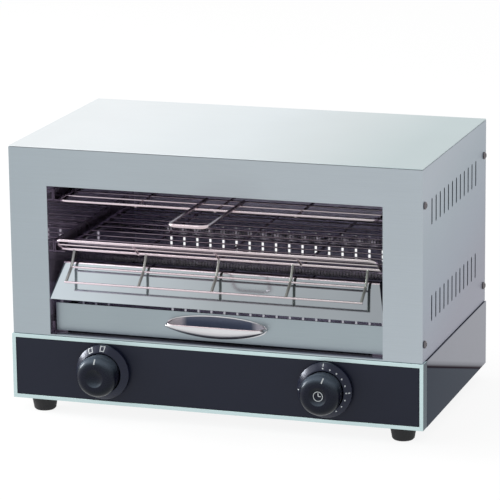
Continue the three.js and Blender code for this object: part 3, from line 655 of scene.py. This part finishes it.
def lower_rack():
    """The framed grid with its raised lip, and the apron below."""
    rack = placed("lower_rack", LOWER_RACK, LOWER_RACK.lip_rise)
    half, front, level = rack.half, rack.front, rack.level
    frame_radius = rack.frame_wire * FACETED
    lip = (front - rack.lip_reach, level + rack.lip_rise)
    middle = (front - rack.lip_reach / 2, level + rack.lip_rise / 2)
    form = Form()
    hoop(form, [
        (-half, rack.back, level), (half, rack.back, level), (half, front, level), (half, *lip),
        (-half, *lip), (-half, front, level),
    ], frame_radius, rack.corner)
    wire(form, [(-half, front, level), (half, front, level)], frame_radius)
    ends = [(-half, *middle), (half, *middle)]
    wire(form, ends, rack.lip_wire * FACETED, sides=FACETS.thin_wire)
    for x in long_places(rack):
        ends = [(x, front, level), (x, *lip)]
        wire(form, ends, rack.long_wire * FACETED, sides=FACETS.thin_wire)
    rack_grid(form, rack)
    apron(form, rack)
    piece("lower_rack_wires", form, [CHROME, SHADED_STRUT_CHROME], "lower_rack",
          ["lower_rack"])


def upper_rack():
    """The flat framed grid with the pull loop on top."""
    rise = LOOP.kick + (LOOP.wire - UPPER_RACK.frame_wire) * FACETED
    rack = placed("upper_rack", UPPER_RACK, rise)
    form = Form()
    hoop(form, [
        (-rack.half, rack.back, rack.level), (rack.half, rack.back, rack.level),
        (rack.half, rack.front, rack.level), (-rack.half, rack.front, rack.level),
    ], rack.frame_wire * FACETED, rack.corner)
    rack_grid(form, rack)
    tail = rack.front + LOOP.tail
    level = rack.level + LOOP.kick
    wire(form, [
        (-LOOP.half, tail, level), (-LOOP.half, -LOOP.reach, level),
        (LOOP.half, -LOOP.reach, level), (LOOP.half, tail, level),
    ], LOOP.wire * FACETED, LOOP.corner)
    piece("upper_rack_wires", form, [CHROME], "upper_rack", ["upper_rack"])


lower_rack()
upper_rack()


# Controls


def radial(clock):
    """The direction of a clock angle in degrees, as seen from the front."""
    angle = math.radians(clock)
    return Vector((math.sin(angle), 0, math.cos(angle)))


def axis_of(node):
    """The middle of a turned node's back face, and its height and radius in millimetres."""
    low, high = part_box(node)
    middle = Vector(((low.x + high.x) / 2, high.y, (low.z + high.z) / 2))
    return middle, (high.y - low.y) / MM, (high.x - low.x) / 2 / MM


def print_line(form, path, width):
    """A thin printed stroke along (point, normal) pairs that lie on a surface."""
    rings = []
    for i, (place, normal) in enumerate(path):
        before, after = path[max(i - 1, 0)][0], path[min(i + 1, len(path) - 1)][0]
        side = (after - before).normalized().cross(normal) * width * MM / 2
        lift = normal * PRINT * MM
        rings.append([place - side, place + side, place + side + lift, place - side + lift])
    form.loft(rings, slot=1)


def print_dot(form, place, normal, radius):
    profile = [(0, -PRINT), (radius, -PRINT), (radius, PRINT), (0, PRINT)]
    turned(form, profile, place, normal, FACETS.dot, slot=1)


def ring_face(ring, clock, radius):
    """A place and its normal on the sloping face of a scale ring."""
    middle, height, outer = ring
    slope = (height - RING.rim) / (outer - RING.inner)
    level = RING.rim + (outer - radius) * slope
    normal = (OUTWARD + radial(clock) * slope).normalized()
    return middle + OUTWARD * level * MM + radial(clock) * radius * MM, normal


def square_mark(form, ring, clock):
    """The outline of a square, set along the ring's face. Its sides overlap at the corners."""
    reach = SQUARES.reach
    turn = math.degrees(reach / SQUARES.radius)
    corners = [(-turn, -reach), (turn, -reach), (turn, reach), (-turn, reach)]
    grow = SQUARES.width / 2 / reach / 2
    for here, there in zip(corners, corners[1:] + corners[:1]):
        start = [a - (b - a) * grow for a, b in zip(here, there)]
        end = [b + (b - a) * grow for a, b in zip(here, there)]
        ends = [ring_face(ring, clock + c, SQUARES.radius + r) for c, r in (start, end)]
        print_line(form, ends, SQUARES.width)


def selector_marks(form, ring):
    for clock in SQUARES.clocks:
        square_mark(form, ring, clock)


def timer_marks(form, ring):
    for i in range(DOTS.count):
        clock = DOTS.first + i * DOTS.pitch
        print_dot(form, *ring_face(ring, clock, DOTS.radius), DOTS.size)
    for clock, near, far in STROKES:
        ends = [ring_face(ring, clock, near), ring_face(ring, clock, far)]
        print_line(form, ends, STROKE_WIDTH)


def scale_ring(node, marks):
    """The fixed ring round a knob, with its printed scale."""
    ring = axis_of(node)
    middle, height, outer = ring
    profile = [
        (RING.bore, RING.floor), (RING.bore, 0), (outer, 0), (outer, RING.rim),
        (RING.inner, height), (RING.inner, RING.floor), (RING.bore, RING.floor),
    ]
    form = Form()
    turned(form, soften(profile, RING.soft), middle, OUTWARD, FACETS.knob, capped=False)
    marks(form, ring)
    piece(node + "_turned", form, [RING_BLACK, PRINT_WHITE], "housing", [node])


def grip_face(grip, clock, radius):
    """A place and its normal on the rounded front edge of a knob."""
    middle, length, _ = grip
    out = radius - (GRIP.top - GRIP.round)
    up = math.sqrt(max(GRIP.round**2 - out**2, 0))
    normal = (radial(clock) * out + OUTWARD * up).normalized()
    return middle + OUTWARD * (length - GRIP.round + up) * MM + radial(clock) * radius * MM, normal


def grip_profile(length):
    """A knob's outline, from the bore for its spindle round to the middle of its dimple."""
    top = length - GRIP.round
    base = [
        (GRIP.bore, GRIP.sink), (GRIP.bore, 0), (GRIP.base - GRIP.edge, 0), (GRIP.base, GRIP.edge),
    ]
    rounding = [
        (GRIP.top - GRIP.round * (1 - math.cos(a)), top + GRIP.round * math.sin(a))
        for a in spaced(0, math.pi / 2, FACETS.knob_round)
    ]
    dimple = [
        (GRIP.dimple * share, length - GRIP.depth * (1 - share * share))
        for share in spaced(1, 0, FACETS.dimple)
    ]
    return [*base, *rounding, *soften([(GRIP.dimple + GRIP.rim, length), *dimple], GRIP.soft)]


def dimple_face(front, x, z):
    """A place and its normal in the dished front of a knob."""
    share = math.hypot(x, z) / GRIP.dimple
    sink = GRIP.depth * (1 - share**2)
    return front + Vector((x, sink, z)) * MM, OUTWARD


def clock_sign(form, front):
    """A small clock face: a ring and two hands."""
    reach = CLOCK_SIGN.radius
    turns = spaced(0, 2 * math.pi, FACETS.sign)
    rim = [dimple_face(front, reach * math.cos(a), reach * math.sin(a)) for a in turns]
    print_line(form, rim, CLOCK_SIGN.rim)
    for x, z in CLOCK_SIGN.hands:
        hand = [dimple_face(front, x * share, z * share) for share in spaced(0, 1, FACETS.hand)]
        print_line(form, hand, CLOCK_SIGN.hand)


def knob(node, body, pointer, sign=None):
    """A dished knob with a pointer at a clock angle, and a sign in its dimple where it has one."""
    grip = axis_of(node)
    middle, length, _ = grip
    form = Form()
    turned(form, grip_profile(length), middle, OUTWARD, FACETS.knob)
    radii = [POINTER.outer - POINTER.step * i for i in range(POINTER.steps + 1)]
    print_line(form, [grip_face(grip, pointer, r) for r in radii], POINTER.width)
    if sign:
        sign(form, middle + OUTWARD * length * MM)
    piece(node + "_turned", form, [KNOB_BLACK, PRINT_WHITE], body, [node])


scale_ring("selector_scale_ring", selector_marks)
scale_ring("timer_scale_ring", timer_marks)
knob("selector_knob", "selector", pointer=1)
knob("timer_knob", "timer_dial", pointer=16, sign=clock_sign)


# Drawer pull


def pouch_row(along, shrink, start, level):
    """Points round the pouch's outside, or inside when shrunk, from below up to its mouth."""
    ring = math.sqrt(1 - along**2)
    out = (1 - abs(along) ** PULL.depth_power) ** (1 / PULL.depth_power) * (PULL.reach - shrink)
    tall = (PULL.drop - shrink) * ring**PULL.height_power
    top = math.asin(min(PULL.lip / tall, 1))
    x = along * (PULL.half - shrink)
    return [
        spot(x, start - out * math.cos(a), level + tall * math.sin(a))
        for a in spaced(-math.pi / 2, top, FACETS.pouch)
    ]


def lens_outline():
    """The flange's outline: half an ellipse above its middle and a deeper one below."""
    outline = []
    for i in range(FACETS.lens):
        angle = 2 * math.pi * i / FACETS.lens
        tall = PULL.rise if math.sin(angle) > 0 else PULL.drop
        outline.append((PULL.half * math.cos(angle), tall * math.sin(angle)))
    return outline


def cup_pull():
    """A lens-shaped flange with a full pouch below its middle and a rolled rim along the mouth."""
    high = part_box("drawer_pull")[1]
    start = (high.y - FRONT) / MM
    level = (high.z - SOLE) / MM - PULL.rise
    shares = spaced(-1, 1, FACETS.pull)
    alongs = [math.sin(math.pi / 2 * share) * PULL.end_share for share in shares]
    outer = [pouch_row(along, 0, start, level) for along in alongs]
    inner = [pouch_row(along, PULL.shell, start, level) for along in alongs]
    rim = [(a[-1] + b[-1]) / 2 for a, b in zip(outer, inner)]
    lens = lens_outline()

    def lens_ring(forward, wide_share=1, tall_share=1):
        return [spot(x * wide_share, start - forward, level + z * tall_share) for x, z in lens]

    back = lens_ring(0)
    edge = lens_ring(PULL.flange)
    dish = lens_ring(PULL.flange, *PULL.dish_shares)
    floor_ring = lens_ring(PULL.flange * PULL.floor_depth_share, *PULL.floor_shares)
    form = Form()
    form.grid(outer)
    # The pouch's inside and the dish's floor take the matt stand-in: painted shade and painted
    # highlights.
    form.grid([row[::-1] for row in inner], slot=1)
    tube(form, rim, PULL.shell * PULL.rim_share, FACETS.rim, slot=2)
    form.loft([back, edge, dish, floor_ring], capped=False)
    form.add(floor_ring, [tuple(range(len(floor_ring)))], slot=1)
    form.add(back, [tuple(range(len(back)))[::-1]])
    piece("cup_pull", form, [CUP_CHROME, SHADED_CUP_HOLLOW, CHROME], "crumb_drawer",
          ["drawer_pull"], PULL.crease)


cup_pull()


# Deflector


def deflector():
    """The sloping polished plate with its top edge rolled back, narrower at the top."""
    low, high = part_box("deflector_plate")
    sheet, rise, roll = DEFLECTOR.sheet, DEFLECTOR.rise, DEFLECTOR.roll
    half = high.x / MM
    climb = Vector((DEFLECTOR.lean, rise, 0))
    slope = climb.normalized()
    toe = Vector(((low.y - FRONT) / MM, (low.z - SOLE) / MM + slope.x * sheet, 0))
    outward = Vector((-slope.y, slope.x, 0))
    hub = toe + climb - outward * roll
    angles = spaced(math.atan2(outward.y, outward.x), math.pi / 2, FACETS.roll)
    spokes = [Vector((math.cos(a), math.sin(a), 0)) for a in angles]
    over = [hub + spoke * roll for spoke in spokes]
    under = [hub + spoke * (roll - sheet) for spoke in spokes]
    end = hub + Vector((DEFLECTOR.flange, roll, 0))
    outline = [toe, *over, end, end - Vector((0, sheet, 0)), *under[::-1], toe - outward * sheet]

    def edge(side):
        ring = []
        for p in outline:
            share = min(max((p.y - toe.y) / rise, 0), 1)
            ring.append(spot(side * (half - DEFLECTOR.inset * share), p.x, p.y))
        return ring

    form = Form()
    form.loft([edge(-1), edge(1)])
    form.slots[1:len(over)] = [1] * (len(over) - 1)  # the outside of the roll, in a lighter copy of the steel: a painted highlight
    piece("polished_deflector", form, [MIRROR_STEEL, ROLL_HIGHLIGHT_STEEL], "housing",
          ["deflector_plate"], DEFLECTOR.crease)


deflector()


# Feet and screws


def rubber_foot(node):
    """A tapered foot with a hollow in its sole, and the collar and stud under the base."""
    low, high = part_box(node)
    centre = Vector(((low.x + high.x) / 2, (low.y + high.y) / 2, low.z))
    height = (SOLE - low.z) / MM - SEAT
    collar = height - FOOT.collar
    profile = [
        (0, FOOT.hollow_rise), (FOOT.hollow, FOOT.hollow_rise),
        (FOOT.hollow + FOOT.hollow_flare, 0), (FOOT.tip - FOOT.edge, 0), (FOOT.tip, FOOT.edge),
        (FOOT.top - FOOT.step, collar), (FOOT.top, collar), (FOOT.top, height),
        (FOOT.stud, height), (FOOT.stud, height + FOOT.stud_rise), (0, height + FOOT.stud_rise),
    ]
    form = Form()
    turned(form, soften(profile, FOOT.soft), centre, UPWARD, FACETS.foot)
    piece(node + "_moulded", form, [FOOT_RUBBER], "housing", [node])


def cover_screw(node, side):
    """A domed head with its cross recess painted as two dark strips of shade, and its shank."""
    low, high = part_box(node)
    out = Vector((side, 0, 0))
    seat = HALF_HOOD + SEAT * MM
    centre = Vector((side * seat, (low.y + high.y) / 2, (low.z + high.z) / 2))
    bulge = SCREW.rise - SCREW.rim
    shank = [(0, -SCREW.reach), (SCREW.shank, -SCREW.reach), (SCREW.shank, 0), (SCREW.head, 0)]
    dome = [
        (SCREW.head * math.cos(a), SCREW.rim + bulge * math.sin(a))
        for a in spaced(0, math.pi / 2, FACETS.dome)
    ]
    form = Form()
    turned(form, [*shank, *dome], centre, out, FACETS.screw)
    # The cross recess is not cut: two dark strips on the dome paint its shade.
    for turn in SCREW.turns:
        angle = math.radians(turn)
        over_head = Vector((0, math.cos(angle), math.sin(angle)))
        stroke = []
        for share in spaced(-1, 1, FACETS.recess):
            r = SCREW.recess * share
            lift = SCREW.rim + bulge * math.sqrt(1 - (r / SCREW.head) ** 2) - PRINT / 2
            stroke.append((centre + (over_head * r + out * lift) * MM, out))
        print_line(form, stroke, SCREW.recess_width)
    piece(node + "_turned", form, [SCREW_STEEL, PAINTED_RECESS_SHADE], "housing", [node])


for name in nodes:
    if name.startswith("foot_"):
        rubber_foot(name)
    if "_screw_" in name:
        cover_screw(name, 1 if name.startswith("right") else -1)


# Heating tubes


def quartz_sleeve(place, y, z, half):
    """A hollow quartz tube, open at both ends."""
    bore, radius = TUBE.bore, TUBE.radius
    profile = [(bore, -half), (radius, -half), (radius, half), (bore, half), (bore, -half)]
    form = Form()
    turned(form, soften(profile, TUBE.soft), spot(0, y, z), ALONG, FACETS.tube, capped=False)
    piece("quartz_sleeve_" + place, form, [QUARTZ], "housing",
          ["quartz_tube_" + place])


def winding(place, y, z, half):
    """The coiled wire inside a tube, with its straight ends."""
    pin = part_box("heating_coil_" + place)[1].x / MM
    reach = half - WINDING.margin
    steps = math.floor(2 * reach / WINDING.pitch) * FACETS.turn
    path = [spot(-pin, y, z), spot(-reach - WINDING.lead, y, z)]
    for i, x in enumerate(spaced(-reach, reach, steps)):
        angle = 2 * math.pi * i / FACETS.turn
        swing, lift = WINDING.radius * math.cos(angle), WINDING.radius * math.sin(angle)
        path.append(spot(x, y + swing, z + lift))
    path += [spot(reach + WINDING.lead, y, z), spot(pin, y, z)]
    form = Form()
    tube(form, path, WINDING.wire, FACETS.winding)
    piece("winding_" + place, form, [COIL], "housing",
          ["heating_coil_" + place])


def heating_tube(place):
    """A sleeve and its winding, on the axis of the frame's tube."""
    low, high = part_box("quartz_tube_" + place)
    y = ((low.y + high.y) / 2 - FRONT) / MM
    z = ((low.z + high.z) / 2 - SOLE) / MM
    half = high.x / MM
    quartz_sleeve(place, y, z, half)
    winding(place, y, z, half)


for level in ("lower", "upper"):
    for column in ("front", "rear"):
        heating_tube(f"{level}_{column}")


# Folded edges of the sheet metal


def crisp_edge(node, width):
    """Rounds the edges of a sheet piece a little, so that they catch the light."""
    weld = node.modifiers.new("weld", "WELD")
    weld.merge_threshold = MERGE * MM
    bevel = node.modifiers.new("edge", "BEVEL")
    bevel.width = width * MM
    bevel.segments = 2
    bevel.limit_method = "ANGLE"
    bevel.angle_limit = math.radians(EDGE_ANGLE)
    bevel.harden_normals = True


for name, width in EDGE_WIDTHS.items():
    crisp_edge(nodes[name], width)


# Camera, from the fit to the photograph

CAMERA_AZIMUTH, CAMERA_ELEVATION, CAMERA_ROLL = 18.23, 13.86, -0.65
CAMERA_DISTANCE = 3.25  # metres
CAMERA_LENS, CAMERA_SENSOR = 222, 36
AIM = spot(-2.68, 130, 141.6)


def camera():
    azimuth, elevation, roll = map(math.radians, (CAMERA_AZIMUTH, CAMERA_ELEVATION, CAMERA_ROLL))
    back = Vector((
        math.sin(azimuth) * math.cos(elevation),
        -math.cos(azimuth) * math.cos(elevation),
        math.sin(elevation),
    ))
    right = Vector((math.cos(azimuth), math.sin(azimuth), 0))
    up = back.cross(right)
    rolled_right = right * math.cos(roll) + up * math.sin(roll)
    rolled_up = up * math.cos(roll) - right * math.sin(roll)
    data = bpy.data.cameras.new("camera")
    data.lens = CAMERA_LENS
    data.sensor_width = CAMERA_SENSOR
    data.clip_end = 100
    made = bpy.data.objects.new("camera", data)
    turn = Matrix((rolled_right, rolled_up, back)).transposed().to_4x4()
    made.matrix_world = Matrix.Translation(AIM + back * CAMERA_DISTANCE) @ turn
    bpy.context.scene.collection.objects.link(made)
    bpy.context.scene.camera = made


camera()


# Studio, in metres


def lamp(name, place, aim, wide, tall, radiance):
    """A broad soft lamp that shines with a given radiance, whatever its size."""
    data = bpy.data.lights.new(name, "AREA")
    data.shape = "RECTANGLE"
    data.size, data.size_y = wide, tall
    data.energy = radiance * math.pi * wide * tall
    made = bpy.data.objects.new(name, data)
    made.location = place
    made.rotation_euler = (Vector(aim) - Vector(place)).to_track_quat("-Z", "Y").to_euler()
    bpy.context.scene.collection.objects.link(made)


def either(tree, *sources):
    """The highest of several 0 or 1 outputs."""
    best = sources[0]
    for source in sources[1:]:
        pick = tree.nodes.new("ShaderNodeMath")
        pick.operation = "MAXIMUM"
        tree.links.new(best, pick.inputs[0])
        tree.links.new(source, pick.inputs[1])
        best = pick.outputs[0]
    return best


def world(ambient):
    """White where it is seen, mirrored or looked through, and dimmer where it lights."""
    made = bpy.data.worlds.new("studio")
    bpy.context.scene.world = made
    made.use_nodes = True
    tree = made.node_tree
    path = tree.nodes.new("ShaderNodeLightPath").outputs
    seen = either(tree, path["Is Camera Ray"], path["Is Glossy Ray"], path["Is Transmission Ray"])
    strength = tree.nodes.new("ShaderNodeMapRange")
    strength.inputs["To Min"].default_value = ambient
    tree.links.new(seen, strength.inputs["Value"])
    background = tree.nodes["Background"]
    tree.links.new(strength.outputs["Result"], background.inputs["Strength"])
    background.inputs["Color"].default_value = (*WHITE, 1)


def floor_white(glow, strength):
    """A matt white, mixed with a glow where it is seen or mirrored."""
    shader = Shader("floor_white")
    shader.socket("Base Color", (0.93, 0.93, 0.93, 1))
    shader.socket("Roughness", 0.9)
    shader.socket("Specular IOR Level", 0.1)
    light = shader.node("ShaderNodeEmission", Strength=strength)
    path = shader.node("ShaderNodeLightPath").outputs
    seen = either(shader.tree, path["Is Camera Ray"], path["Is Glossy Ray"])
    mix = shader.node("ShaderNodeMixShader")
    shader.link(shader.spread(seen, 0, glow), mix.inputs["Fac"])
    shader.link(shader.surface.outputs["BSDF"], mix.inputs[1])
    shader.link(light.outputs["Emission"], mix.inputs[2])
    shader.link(mix.outputs["Shader"], shader.output.inputs["Surface"])
    return shader.material


def floor(reach, glow, strength):
    """A white floor that glows where it is seen, but keeps a part of the shadow on it."""
    mesh = bpy.data.meshes.new("floor")
    corners = [(-reach, -reach, 0), (reach, -reach, 0), (reach, reach, 0), (-reach, reach, 0)]
    mesh.from_pydata(corners, [], [(0, 1, 2, 3)])
    mesh.materials.append(floor_white(glow, strength))
    made = bpy.data.objects.new("floor", mesh)
    bpy.context.scene.collection.objects.link(made)


world(ambient=0.5)
floor(reach=6, glow=0.85, strength=1.05)
lamp("key", place=(-3, -0.9, 1.8), aim=(0, 0, 0.12), wide=2.4, tall=2.4, radiance=1.6)
lamp("top", place=(0.2, 0.4, 3), aim=(0, 0, 0.2), wide=3, tall=3, radiance=0.3)
lamp("edge", place=(-0.91, -1.41, 2.65), aim=(0, FRONT, 0.13), wide=1.3, tall=0.4, radiance=3.5)
lamp("rim", place=(-2.95, -0.13, 0.98), aim=(-0.13, FRONT, 0.05), wide=0.9, tall=0.8, radiance=34)
bpy.context.scene.view_settings.view_transform = "Standard"
